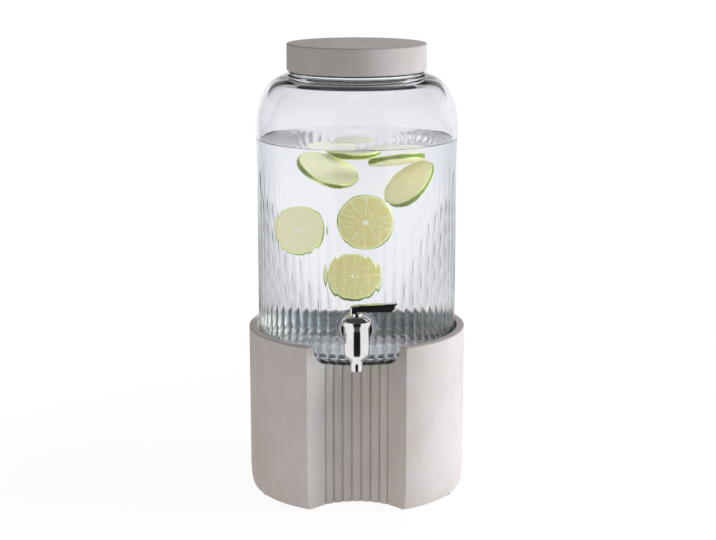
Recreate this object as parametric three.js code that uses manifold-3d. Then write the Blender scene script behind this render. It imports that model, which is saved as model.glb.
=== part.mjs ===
// A seven-litre glass drinks dispenser. A ribbed jar with a quarter-turn tap near its foot stands in the
// socket of a hollow concrete pedestal, and a heavy round lid closes its mouth.
// Millimetres, +Z up, the tap faces -Y. The origin is on the floor, in the middle of the whole object.
import * as THREE from "three";
import { mergeVertices } from "three/addons/utils/BufferGeometryUtils.js";
import Module from "manifold-3d";

const wasm = await Module();
wasm.setup();

// Fits that all pieces share
const seatGap = 0.25; // between pieces that rest on or clamp each other
const runningGap = 0.3; // between pieces that turn in each other
const cutOverrun = 4; // how far a cutting shape passes the face that it opens
const mergeDistance = 0.001;

// Jar of pressed glass
const jarRadius = 100.2; // over the crests of the ribs
const jarWall = 3.4; // over a rib's crest
const smoothBandRise = 0.7; // the smooth band above the ribs stands out by this much
const smoothBandHeight = 18; // from the ribs' upper end to the widest ring of the shoulder
const heelRadius = 14;
const innerHeelRadius = 11;
const jarFloor = 7;
const puntRadius = 72; // the underside is pushed up inside this circle
const puntRise = 2.4;
const shoulderBase = 224.5; // height of the widest ring of the shoulder above the jar's underside
const shoulderRise = 55;
const shoulderReach = 33.9; // from the shoulder's own centre circle to the widest ring
const shoulderPowerShare = 2.1; // 2 is an ellipse, more is fuller
const shoulderWall = 7; // the glass gets thicker from the wall up to the neck
const neckInset = 32.8; // from the ribs' crests in to the neck
const neckFillet = 1.2;
const neckTop = 56.4; // lip above the widest ring of the shoulder
const lipRound = 1.1;
const neckWall = 5.9;
const mouthFillet = 3.5;
const mouthDepth = 3; // straight part of the mouth under the lip

// Ribs round the jar
const ribCount = 64;
const ribDepth = 2.4; // what the ribs would have at the jar's underside
const ribTaperShare = 2.2; // power of the ribs' taper: 1 is a straight taper, more is a hollow one
const ribHeelFade = 5;

// Concrete pedestal
const pedestalHeight = 166.8;
const socketDepth = 23.6;
const socketClearance = 1.8;
const socketFilletExtra = 1; // the socket's round corner is larger than the jar's heel by this much
const rimWidth = 8;
const rimRound = 1;
const pedestalWall = 16;
const socketFloor = 13;
const bottomDraw = 3.4; // how far the bottom edge is drawn in
const bottomDrawHeight = 24;

// Bay for the glass in the pedestal's front, centred on the tap
const bayRadius = 56;
const bayHalfWidth = 48.5;
const bayWall = 14;
const reedCount = 7;
const reedPitch = 9.24; // along the bay's round wall
const reedCrown = 0.9;
const reedGroove = 1.7;
const reedGrooveDepth = 1.3;

// Rubber feet
const footHeight = 2.4; // the part that shows under the concrete
const footRadius = 5;
const footMargin = 1.1;
const footPocket = 1.6;
const footRound = 0.7;
const footAngle = 64; // degrees from the front, and the same from the back

// Lid and its seal
const lidOverhang = 2.2; // past the neck, all round
const lidThickness = 27;
const lidRound = 1.6;
const plugDepth = 11;
const plugInset = 2.1; // from the mouth's wall in to the plug
const plugRound = 1.5;
const sealFlange = 0.9;
const sealFlangeWidth = 4;
const sealSkirt = 6.5;
const sealGrooveDepth = 2.2;

// Tap: barrel, nozzle and shank
const tapHeight = 43.7; // shank axis above the jar's underside
const padRadius = 19.5;
const padProud = 1; // the flat pad for the tap stands out from the ribs by this much
const padInside = 2.2; // and into the jar by this much
const gasketRadius = 18;
const gasketThickness = 2.5;
const flangeRadius = 15.6;
const flangeThickness = 2;
const flangeRound = 0.6;
const tapNeckRadius = 8.4;
const tapNeckLength = 21.8; // flange to the barrel's axis
const barrelTop = 15; // above the shank axis
const barrelTopRadius = 14.1;
const barrelEdge = 1;
const barrelRim = 1.4; // straight band under the top edge
const waistRadius = 12.1;
const waistHeight = 5;
const bellyRadius = 12.5;
const bellyDrop = 8;
const coneTopDrop = 16.6; // where the barrel turns into the cone
const coneTopRadius = 12.2;
const nozzleTopDrop = 28.6;
const nozzleRadius = 5.6;
const nozzleDrop = 35;
const nozzleEdge = 0.3;
const nozzleBore = 4.1;
const chamberRadius = 9.2;
const chamberDrop = 13;
const shankRadius = 8;
const shankBore = 4.5;
const shankHoleClearance = 0.7;
const shankTail = 2.5; // past the nut

// Clamping pieces inside the jar
const innerGasketRadius = 15;
const innerGasketThickness = 2;
const washerRadius = 13;
const washerThickness = 1.5;
const nutFlats = 21;
const nutThickness = 5.5;

// Quarter-turn valve inside the barrel
const sleeveWall = 1.6;
const portRadius = 4;
const plugBoreRadius = 4;
const stemRadius = 3.5;
const stemSealSection = 1.1; // radius of the O-ring's section
const plugShoulder = 7.6; // top of the plug above the shank axis
const bonnetNeckRadius = 8.9;
const bonnetFlangeRadius = 12.8;
const bonnetDome = 4.1; // rise of the dome above the barrel's top
const bonnetWell = 2.6; // depth of the well in which the lever's hub turns

// Lever
const hubRadius = 5.8;
const hubAbove = 3; // top of the hub above the dome
const hubCap = 1.1; // metal above the stem's end
const leverDepth = 9;
const legThickness = 6.8;
const legOffset = 6.3; // outer face of the leg from the tap's axis
const armReach = 38.2;
const armHeight = 5.5; // above the leg's foot, at the leg
const armClear = 1; // gap between the hub and the arm's underside
const armRise = 2.9; // how much higher the arm's tip is than its root
const tipRound = 6;
const tipLip = 2;
const tipLipThickness = 1.5;
const bendRound = 2.2;
const innerBendRound = 1.1;
const leverEdge = 0.5;
const screwRadius = 1.25;
const screwInset = 0.4; // the screw's face lies inside the hub by this much
const screwSocketRadius = 0.65;
const screwSocketDepth = 1;

// How finely round things are divided
const jarColumns = ribCount * 2;
const hollowColumns = 48;
const drumColumns = 64;
const lidColumns = 48;
const barrelColumns = 32;
const tapColumns = 24;
const smallColumns = 16;
const heelSteps = 3;
const edgeSteps = 1;
const lidEdgeSteps = 2;
const shoulderSteps = 5;
const hollowShoulderSteps = 4;
const flareSteps = 2;
const bellySteps = 1;
const sealSteps = 6;
const hexSides = 6;

// Sizes that follow from the ones above
const jarInnerRadius = jarRadius - jarWall;
const neckRadius = jarRadius - neckInset;
const mouthRadius = neckRadius - neckWall;
const lipHeight = shoulderBase + neckTop;
const ribTop = shoulderBase - smoothBandHeight;
const lidRadius = neckRadius + lidOverhang;
const plugRadius = mouthRadius - plugInset;
const socketRadius = jarRadius + socketClearance;
const socketFillet = heelRadius + socketFilletExtra;
const pedestalRadius = socketRadius + rimWidth;
const pedestalBase = footHeight;
const socketLevel = pedestalHeight - socketDepth;
const jarLevel = pedestalBase + socketLevel + seatGap;
const padFace = jarRadius + padProud;
const padInnerFace = jarInnerRadius - padInside;
const flangeBack = padFace + seatGap + gasketThickness + seatGap;
const flangeFront = flangeBack + flangeThickness;
const tapReach = flangeFront + tapNeckLength;
const frontReach = tapReach + barrelTopRadius;
const axisShift = (frontReach - pedestalRadius) / 2;
const lidLevel = lipHeight + seatGap + sealFlange + seatGap;
const sleeveRadius = chamberRadius - seatGap;
const plugValveRadius = sleeveRadius - sleeveWall - runningGap;
const domeTop = barrelTop + bonnetDome;
const hubTop = domeTop + hubAbove;
const hubBottom = domeTop - bonnetWell + runningGap;
const stemTop = hubTop - hubCap - seatGap;

const glass = new THREE.MeshStandardMaterial({
  color: 0xe4edec,
  roughness: 0.05,
  metalness: 0,
  transparent: true,
  opacity: 0.35,
});
const concrete = new THREE.MeshStandardMaterial({ color: 0xb3a8a0, roughness: 0.85, metalness: 0 });
const steel = new THREE.MeshStandardMaterial({ color: 0xc9c7c4, roughness: 0.12, metalness: 1 });
const rubber = new THREE.MeshStandardMaterial({ color: 0x232325, roughness: 0.8, metalness: 0 });
const silicone = new THREE.MeshStandardMaterial({ color: 0xc8cccb, roughness: 0.45, metalness: 0 });

// A closed surface as a solid that can be joined and cut.
function solid(geometry) {
  const bare = geometry.clone();
  bare.deleteAttribute("normal");
  bare.deleteAttribute("uv");
  const merged = mergeVertices(bare, mergeDistance);
  const mesh = new wasm.Mesh({
    numProp: 3,
    vertProperties: merged.attributes.position.array,
    triVerts: new Uint32Array(merged.index.array),
  });
  return new wasm.Manifold(mesh);
}

function geometryOf(body) {
  const mesh = body.getMesh();
  const geometry = new THREE.BufferGeometry();
  geometry.setAttribute("position", new THREE.BufferAttribute(mesh.vertProperties, mesh.numProp));
  geometry.setIndex(new THREE.BufferAttribute(mesh.triVerts, 1));
  return geometry;
}

// A profile of [radius, height] pairs turned round the Z axis. It starts and ends on the axis, or closes.
function revolved(profile, columns) {
  const points = profile.map(([radius, height]) => new THREE.Vector2(radius, height));
  if (THREE.ShapeUtils.isClockWise(points)) points.reverse();
  return new THREE.LatheGeometry(points, columns).rotateX(Math.PI / 2);
}

// A flat outline of [x, y] pairs raised along Z.
function raised(outline, low, high) {
  const shape = new THREE.Shape(outline.map(([x, y]) => new THREE.Vector2(x, y)));
  return new THREE.ExtrudeGeometry(shape, { depth: high - low, bevelEnabled: false }).translate(0, 0, low);
}

function rod(radius, low, high, columns) {
  return revolved([[0, low], [radius, low], [radius, high], [0, high]], columns);
}

// A ring of rectangular section whose long edges are chamfered.
function ring(inner, outer, low, high, edge, columns) {
  const profile = [
    [inner + edge, low],
    [outer - edge, low],
    [outer, low + edge],
    [outer, high - edge],
    [outer - edge, high],
    [inner + edge, high],
    [inner, high - edge],
    [inner, low + edge],
    [inner + edge, low],
  ];
  return revolved(profile, columns);
}

function arc(radius, height, round, fromDegrees, toDegrees, steps = edgeSteps) {
  return Array.from({ length: steps + 1 }, (_, i) => {
    const angle = THREE.MathUtils.degToRad(fromDegrees + ((toDegrees - fromDegrees) * i) / steps);
    return [radius + round * Math.cos(angle), height + round * Math.sin(angle)];
  });
}

function named(name, geometry, material, parent) {
  const mesh = new THREE.Mesh(geometry, material);
  mesh.name = name;
  parent.add(mesh);
  return mesh;
}

// Quarter of a superellipse, from its widest ring up towards the neck, cut off where it reaches
// stopRadius.
function shoulder(centreRadius, reach, rise, stopRadius, steps) {
  const power = 2 / shoulderPowerShare;
  const lastAngle = Math.acos(Math.pow((stopRadius - centreRadius) / reach, 1 / power));
  return Array.from({ length: steps + 1 }, (_, i) => {
    const angle = (lastAngle * i) / steps;
    const radius = centreRadius + reach * Math.pow(Math.cos(angle), power);
    return [radius, shoulderBase + rise * Math.pow(Math.sin(angle), power)];
  });
}

// Pressed ribs: every second column of the outer surface is drawn in, less and less towards the shoulder,
// and not at all at the foot of the heel.
function pressRibs(geometry) {
  const position = geometry.attributes.position;
  for (let i = 0; i < position.count; i += 1) {
    const x = position.getX(i);
    const y = position.getY(i);
    const z = position.getZ(i);
    const radius = Math.hypot(x, y);
    const onWall = radius > jarRadius - heelRadius && z <= ribTop;
    if (!onWall) continue;
    const taper = Math.pow(1 - z / ribTop, ribTaperShare);
    const heelFade = THREE.MathUtils.smoothstep(z, 0, ribHeelFade);
    const valley = (1 - Math.cos(ribCount * Math.atan2(y, x))) / 2;
    const scale = 1 - (ribDepth * taper * heelFade * valley) / radius;
    position.setXYZ(i, x * scale, y * scale, z);
  }
  return geometry;
}

function jarOuter() {
  const bandRadius = jarRadius + smoothBandRise;
  const centreRadius = bandRadius - shoulderReach;
  const puntShares = [0, 0.6];
  const ringShares = [0.5, 1];
  const dome = shoulder(centreRadius, shoulderReach, shoulderRise, neckRadius + neckFillet, shoulderSteps);
  const filletLevel = dome[dome.length - 1][1];
  return [
    ...puntShares.map((share) => [puntRadius * share, puntRise * (1 - share * share)]),
    [puntRadius, 0],
    ...arc(jarRadius - heelRadius, heelRadius, heelRadius, -90, 0, heelSteps),
    ...ringShares.map((share) => [jarRadius, ribTop * share]),
    ...dome,
    [neckRadius, filletLevel + neckFillet / 2],
    ...arc(neckRadius - lipRound, lipHeight - lipRound, lipRound, 0, 90),
    [0, lipHeight],
  ];
}

function jarHollow() {
  const bandRadius = jarRadius + smoothBandRise;
  const centreRadius = bandRadius - shoulderReach;
  const floorLevel = puntRise + jarFloor;
  const reach = jarInnerRadius - centreRadius;
  const mouthLevel = lipHeight - mouthDepth;
  const dome = shoulder(centreRadius, reach, shoulderRise - shoulderWall, centreRadius, hollowShoulderSteps);
  const heelCentre = [jarInnerRadius - innerHeelRadius, floorLevel + innerHeelRadius];
  return [
    [0, floorLevel],
    ...arc(...heelCentre, innerHeelRadius, -90, 0, heelSteps),
    ...dome,
    [mouthRadius + mouthFillet, dome[dome.length - 1][1]],
    [mouthRadius, mouthLevel],
    [mouthRadius, lipHeight + cutOverrun],
    [0, lipHeight + cutOverrun],
  ];
}

function makeJar() {
  const outside = solid(pressRibs(revolved(jarOuter(), jarColumns)));
  const inside = solid(revolved(jarHollow(), hollowColumns));
  const pad = rod(padRadius, padInnerFace, padFace, tapColumns);
  const holeRadius = shankRadius + shankHoleClearance;
  const hole = rod(holeRadius, padInnerFace - cutOverrun, padFace + cutOverrun, tapColumns);
  const towardsFront = (geometry) => solid(geometry.rotateX(Math.PI / 2).translate(0, 0, tapHeight));
  const body = outside.subtract(inside).add(towardsFront(pad)).subtract(towardsFront(hole));
  return geometryOf(body);
}

// Outline of the bay: flat wings from the pedestal's face, then reeds between narrow grooves.
function bayOutline(top) {
  const pitch = reedPitch / bayRadius;
  const grooveAngle = reedGroove / bayRadius;
  const crownShares = [0.25, 0.5, 0.75];
  const place = (angle, radius) => [radius * Math.sin(angle), radius * Math.cos(angle) - tapReach];
  const wall = [];
  for (let i = 0; i <= reedCount; i += 1) {
    const angle = (i - reedCount / 2) * pitch;
    wall.push(place(angle - grooveAngle / 2, bayRadius));
    wall.push(place(angle, bayRadius + reedGrooveDepth));
    wall.push(place(angle + grooveAngle / 2, bayRadius));
    if (i === reedCount) break;
    for (const share of crownShares) {
      const along = angle + grooveAngle / 2 + (pitch - grooveAngle) * share;
      wall.push(place(along, bayRadius - reedCrown * Math.sin(Math.PI * share)));
    }
  }
  const [innerX, innerY] = wall[wall.length - 1];
  const cornerY = -Math.sqrt(pedestalRadius ** 2 - bayHalfWidth ** 2);
  const slope = (bayHalfWidth - innerX) / (cornerY - innerY);
  const outsideY = -pedestalRadius - cutOverrun;
  const outsideX = bayHalfWidth + slope * (outsideY - cornerY);
  return raised([[-outsideX, outsideY], ...wall, [outsideX, outsideY]], -cutOverrun, top + cutOverrun);
}

function footPlaces() {
  const circle = pedestalRadius - bottomDraw - footMargin - footRadius;
  const across = circle * Math.sin(THREE.MathUtils.degToRad(footAngle));
  const along = circle * Math.cos(THREE.MathUtils.degToRad(footAngle));
  return {
    foot_front_left: [-across, -along],
    foot_front_right: [across, -along],
    foot_rear_left: [-across, along],
    foot_rear_right: [across, along],
  };
}

function makePedestal() {
  const drawSteps = 4;
  const draw = Array.from({ length: drawSteps + 1 }, (_, i) => {
    const angle = (Math.PI / 2) * (1 - i / drawSteps);
    const inset = bottomDraw * (1 - Math.cos(angle));
    return [pedestalRadius - inset, bottomDrawHeight * (1 - Math.sin(angle))];
  });
  const drum = revolved(
    [
      [0, 0],
      ...draw,
      ...arc(pedestalRadius - rimRound, pedestalHeight - rimRound, rimRound, 0, 90),
      ...arc(socketRadius + rimRound, pedestalHeight - rimRound, rimRound, 90, 180),
      ...arc(socketRadius - socketFillet, socketLevel + socketFillet, socketFillet, 0, -90, heelSteps),
      [0, socketLevel],
    ],
    drumColumns,
  );
  const hollowTop = socketLevel - socketFloor;
  const hollow = solid(rod(pedestalRadius - pedestalWall, -cutOverrun, hollowTop, drumColumns));
  const bayBack = rod(bayRadius + bayWall, -cutOverrun * 2, hollowTop + cutOverrun, drumColumns);
  const hollowRoom = hollow.subtract(solid(bayBack.translate(0, -tapReach, 0)));
  let body = solid(drum).subtract(hollowRoom).subtract(solid(bayOutline(pedestalHeight)));
  for (const [x, y] of Object.values(footPlaces())) {
    const pocket = rod(footRadius + seatGap, -cutOverrun, footPocket + seatGap, smallColumns);
    body = body.subtract(solid(pocket.translate(x, y, 0)));
  }
  return geometryOf(body);
}

function makeFoot() {
  const profile = [
    [0, 0],
    ...arc(footRadius - footRound, footRound, footRound, -90, 0),
    [footRadius, footHeight + footPocket],
    [0, footHeight + footPocket],
  ];
  return revolved(profile, smallColumns);
}

function makeLid() {
  const grooveRadius = plugRadius - sealGrooveDepth;
  const grooveBottom = -sealSkirt - seatGap;
  const profile = [
    [0, -plugDepth],
    ...arc(plugRadius - plugRound, plugRound - plugDepth, plugRound, -90, 0),
    [plugRadius, grooveBottom],
    [grooveRadius, grooveBottom],
    [grooveRadius, 0],
    ...arc(lidRadius - lidRound, lidRound, lidRound, -90, 0, lidEdgeSteps),
    ...arc(lidRadius - lidRound, lidThickness - lidRound, lidRound, 0, 90, lidEdgeSteps),
    [0, lidThickness],
  ];
  return revolved(profile, lidColumns);
}

// The seal's skirt lies round the plug and its flange between the lip and the lid.
function makeLidSeal() {
  const inner = plugRadius - sealGrooveDepth + seatGap;
  const outer = mouthRadius - seatGap;
  const flangeBottom = -seatGap - sealFlange;
  const skirtShares = [0.5];
  const bulge = (share) => outer - (outer - plugRadius) * Math.abs(2 * share - 1);
  const profile = [
    [inner, -sealSkirt],
    [plugRadius, -sealSkirt],
    ...skirtShares.map((share) => [bulge(share), -sealSkirt + (sealSkirt + flangeBottom) * share]),
    [plugRadius, flangeBottom],
    [mouthRadius + sealFlangeWidth, flangeBottom],
    [mouthRadius + sealFlangeWidth, -seatGap],
    [inner, -seatGap],
    [inner, -sealSkirt],
  ];
  return revolved(profile, lidColumns);
}

// Smooth stretch of the barrel between two radii, level at both ends.
function flare(fromRadius, fromHeight, toRadius, toHeight, steps) {
  return Array.from({ length: steps }, (_, i) => {
    const share = (i + 1) / (steps + 1);
    const eased = THREE.MathUtils.smoothstep(share, 0, 1);
    return [fromRadius + (toRadius - fromRadius) * eased, fromHeight + (toHeight - fromHeight) * share];
  });
}

function alongShank(geometry) {
  return geometry.rotateX(-Math.PI / 2);
}

function makeTapBody() {
  const rimBottom = barrelTop - barrelEdge - barrelRim;
  const barrel = revolved(
    [
      [0, -nozzleDrop],
      [nozzleRadius - nozzleEdge, -nozzleDrop],
      [nozzleRadius, nozzleEdge - nozzleDrop],
      [nozzleRadius, -nozzleTopDrop],
      ...flare(nozzleRadius, -nozzleTopDrop, coneTopRadius, -coneTopDrop, flareSteps),
      [coneTopRadius, -coneTopDrop],
      [bellyRadius, -bellyDrop],
      ...flare(bellyRadius, -bellyDrop, waistRadius, waistHeight, bellySteps),
      [waistRadius, waistHeight],
      ...flare(waistRadius, waistHeight, barrelTopRadius, rimBottom, flareSteps),
      [barrelTopRadius, rimBottom],
      [barrelTopRadius, barrelTop - barrelEdge],
      [barrelTopRadius - barrelEdge, barrelTop],
      [0, barrelTop],
    ],
    barrelColumns,
  );
  const flangeStart = tapNeckLength;
  const shankEnd = tapReach - padInnerFace + clampStack() + shankTail;
  const shank = revolved(
    [
      [0, 0],
      [tapNeckRadius, 0],
      [tapNeckRadius, flangeStart],
      [flangeRadius - flangeRound, flangeStart],
      [flangeRadius, flangeStart + flangeRound],
      [flangeRadius, flangeStart + flangeThickness],
      [shankRadius, flangeStart + flangeThickness],
      [shankRadius, shankEnd],
      [0, shankEnd],
    ],
    tapColumns,
  );
  const chamber = rod(chamberRadius, -chamberDrop, barrelTop + cutOverrun, tapColumns);
  const outlet = rod(nozzleBore, -nozzleDrop - cutOverrun, 0, tapColumns);
  const inlet = rod(shankBore, 0, shankEnd + cutOverrun, tapColumns);
  const body = solid(barrel)
    .add(solid(alongShank(shank)))
    .subtract(solid(chamber))
    .subtract(solid(outlet))
    .subtract(solid(alongShank(inlet)));
  return geometryOf(body);
}

// Thickness of gasket, washer and nut with the gaps between them, from the glass inwards.
function clampStack() {
  return seatGap * 3 + innerGasketThickness + washerThickness + nutThickness;
}

function makeNut() {
  const corner = nutFlats / Math.sqrt(3);
  const shape = new THREE.Shape(
    Array.from({ length: hexSides }, (_, i) => {
      const angle = (Math.PI * 2 * i) / hexSides;
      return new THREE.Vector2(corner * Math.cos(angle), corner * Math.sin(angle));
    }),
  );
  const hole = new THREE.Path();
  hole.absarc(0, 0, shankRadius + seatGap, 0, Math.PI * 2, true);
  shape.holes.push(hole);
  return new THREE.ExtrudeGeometry(shape, {
    depth: nutThickness,
    bevelEnabled: false,
    curveSegments: tapColumns,
  });
}

function makeSleeve() {
  const inner = sleeveRadius - sleeveWall;
  const low = seatGap - chamberDrop;
  const body = solid(ring(inner, sleeveRadius, low, plugShoulder, seatGap, tapColumns));
  const window = rod(portRadius, 0, sleeveRadius + cutOverrun, smallColumns);
  return geometryOf(body.subtract(solid(alongShank(window))));
}

// At rest the port looks sideways. A quarter turn brings it in line with the shank.
function makePlug() {
  const bottom = runningGap - chamberDrop;
  const body = revolved(
    [
      [0, bottom],
      [plugValveRadius, bottom],
      [plugValveRadius, plugShoulder],
      [stemRadius, plugShoulder],
      [stemRadius, stemTop],
      [0, stemTop],
    ],
    tapColumns,
  );
  const down = rod(plugBoreRadius, bottom - cutOverrun, 0, smallColumns);
  const side = rod(portRadius, 0, plugValveRadius + cutOverrun, smallColumns).rotateY(-Math.PI / 2);
  const elbow = new THREE.SphereGeometry(portRadius, smallColumns, smallColumns / 2).rotateX(Math.PI / 2);
  return geometryOf(solid(body).subtract(solid(down)).subtract(solid(side)).subtract(solid(elbow)));
}

function makeStemSeal() {
  const centre = stemRadius + seatGap + stemSealSection;
  const height = plugShoulder + seatGap + stemSealSection;
  return revolved(arc(centre, height, stemSealSection, 0, 360, sealSteps), tapColumns);
}

function makeBonnet() {
  const gland = stemRadius + seatGap + stemSealSection * 2 + seatGap;
  const bottom = plugShoulder + runningGap;
  const glandTop = plugShoulder + seatGap + stemSealSection * 2 + seatGap;
  const wellRadius = hubRadius + runningGap;
  const domeEdge = wellRadius + seatGap * 2;
  const domeShares = [0.35, 0.7];
  const domeRadius = (share) => bonnetFlangeRadius - (bonnetFlangeRadius - domeEdge) * share;
  const domeRise = bonnetDome - seatGap;
  const domeLevel = (share) => domeTop - domeRise * (1 - Math.sin((Math.PI / 2) * share));
  const profile = [
    [gland, bottom],
    [bonnetNeckRadius, bottom],
    [bonnetNeckRadius, barrelTop + seatGap],
    [bonnetFlangeRadius, barrelTop + seatGap],
    ...domeShares.map((share) => [domeRadius(share), domeLevel(share)]),
    [domeEdge, domeTop],
    [wellRadius, domeTop],
    [wellRadius, domeTop - bonnetWell],
    [stemRadius + runningGap, domeTop - bonnetWell],
    [stemRadius + runningGap, glandTop],
    [gland, glandTop],
    [gland, bottom],
  ];
  return revolved(profile, tapColumns);
}

// Side view of the leg and arm, with x along the arm and the leg's foot on the hub.
function leverShape() {
  const footLevel = domeTop + runningGap;
  const under = hubTop + armClear;
  const rootTop = under + armHeight;
  const tipTop = rootTop + armRise;
  const lipRoot = armReach - tipLip;
  const shape = new THREE.Shape();
  shape.moveTo(-legOffset, footLevel);
  shape.lineTo(legThickness - legOffset, footLevel);
  shape.lineTo(legThickness - legOffset, under - innerBendRound);
  const innerBendX = legThickness - legOffset + innerBendRound;
  shape.absarc(innerBendX, under - innerBendRound, innerBendRound, Math.PI, Math.PI / 2, true);
  shape.lineTo(lipRoot - tipRound, under);
  shape.absarc(lipRoot - tipRound, under + tipRound, tipRound, -Math.PI / 2, 0, false);
  shape.lineTo(armReach, tipTop - tipLipThickness);
  shape.lineTo(armReach, tipTop);
  shape.lineTo(bendRound - legOffset, rootTop);
  shape.absarc(bendRound - legOffset, rootTop - bendRound, bendRound, Math.PI / 2, Math.PI, false);
  return shape;
}

function makeLever() {
  const blade = new THREE.ExtrudeGeometry(leverShape(), {
    depth: leverDepth - leverEdge * 2,
    bevelEnabled: true,
    bevelThickness: leverEdge,
    bevelSize: leverEdge,
    bevelOffset: -leverEdge,
    bevelSegments: 1,
    curveSegments: 4,
  });
  const middle = leverDepth / 2 - leverEdge;
  blade.translate(0, 0, -middle).rotateX(Math.PI / 2);
  const hub = rod(hubRadius, hubBottom, hubTop, tapColumns);
  const socket = rod(stemRadius + seatGap, hubBottom - cutOverrun, stemTop + seatGap, tapColumns);
  const screwHole = alongShank(rod(screwRadius + seatGap, 0, hubRadius + cutOverrun, smallColumns));
  const body = solid(blade)
    .add(solid(hub))
    .subtract(solid(socket))
    .subtract(solid(screwHole.translate(0, 0, screwLevel())));
  return geometryOf(body);
}

function screwLevel() {
  return domeTop + runningGap + screwRadius;
}

function makeLeverScrew() {
  const start = stemRadius + seatGap * 2;
  const end = hubRadius - screwInset;
  const body = solid(rod(screwRadius, start, end, smallColumns));
  const socket = rod(screwSocketRadius, end - screwSocketDepth, end + cutOverrun, hexSides);
  return geometryOf(body.subtract(solid(socket))).rotateX(-Math.PI / 2);
}

const dispenser = new THREE.Group();
const stand = new THREE.Group();
stand.position.set(0, axisShift, pedestalBase);
dispenser.add(stand);
named("pedestal", makePedestal(), concrete, stand);
for (const [name, [x, y]] of Object.entries(footPlaces())) {
  named(name, makeFoot(), rubber, stand).position.set(x, y, -footHeight);
}

const vessel = new THREE.Group();
vessel.position.set(0, axisShift, jarLevel);
dispenser.add(vessel);
named("jar", makeJar(), glass, vessel);

const cover = new THREE.Group();
cover.position.set(0, 0, lidLevel);
vessel.add(cover);
named("lid", makeLid(), concrete, cover);
named("lid_seal", makeLidSeal(), silicone, cover);

const tap = new THREE.Group();
tap.position.set(0, -tapReach, tapHeight);
vessel.add(tap);
named("tap_body", makeTapBody(), steel, tap);
const boreRadius = shankRadius + seatGap;
const gasketStart = tapReach - padFace - seatGap - gasketThickness;
const outerGasket = ring(boreRadius, gasketRadius, 0, gasketThickness, seatGap, tapColumns);
named("outer_gasket", alongShank(outerGasket), silicone, tap).position.y = gasketStart;
const innerStart = tapReach - padInnerFace + seatGap;
const innerGasket = ring(boreRadius, innerGasketRadius, 0, innerGasketThickness, seatGap, tapColumns);
named("inner_gasket", alongShank(innerGasket), silicone, tap).position.y = innerStart;
const washerStart = innerStart + innerGasketThickness + seatGap;
const washer = ring(boreRadius, washerRadius, 0, washerThickness, seatGap, tapColumns);
named("tap_washer", alongShank(washer), steel, tap).position.y = washerStart;
named("tap_nut", alongShank(makeNut()), steel, tap).position.y = washerStart + washerThickness + seatGap;
named("valve_sleeve", makeSleeve(), silicone, tap);
named("bonnet", makeBonnet(), steel, tap);
named("valve_plug", makePlug(), steel, tap);
named("stem_seal", makeStemSeal(), silicone, tap);
named("lever", makeLever(), steel, tap);
named("lever_screw", makeLeverScrew(), steel, tap).position.z = screwLevel();

export default dispenser;
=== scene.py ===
import math

import bmesh
import bpy
from mathutils import Matrix, Vector, noise


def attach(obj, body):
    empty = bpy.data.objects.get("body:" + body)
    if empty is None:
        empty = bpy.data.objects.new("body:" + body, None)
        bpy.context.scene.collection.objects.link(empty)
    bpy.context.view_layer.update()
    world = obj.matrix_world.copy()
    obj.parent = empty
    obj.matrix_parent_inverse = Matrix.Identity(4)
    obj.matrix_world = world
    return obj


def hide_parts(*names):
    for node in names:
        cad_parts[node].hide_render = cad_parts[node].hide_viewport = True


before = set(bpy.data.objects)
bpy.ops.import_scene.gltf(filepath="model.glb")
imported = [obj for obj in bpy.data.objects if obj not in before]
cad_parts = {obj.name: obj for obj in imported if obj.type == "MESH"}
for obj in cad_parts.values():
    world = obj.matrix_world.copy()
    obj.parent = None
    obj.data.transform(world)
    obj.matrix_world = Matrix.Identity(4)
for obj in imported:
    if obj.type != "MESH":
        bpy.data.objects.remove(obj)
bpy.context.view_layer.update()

# A long lens a little above the jar's mouth looks down on the whole dispenser. Its place and tilt follow from
# the ellipses of the lid, the jar and the pedestal.
camera_data = bpy.data.cameras.new("camera")
camera_data.lens = 83.434
camera_data.sensor_width = 36
camera = bpy.data.objects.new("camera", camera_data)
camera.location = (0.0013, -1.63695, 0.5893)
camera.rotation_euler = (math.radians(77.56), 0, 0)
bpy.context.scene.collection.objects.link(camera)
bpy.context.scene.camera = camera
bpy.context.scene.view_settings.view_transform = "Standard"


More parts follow.
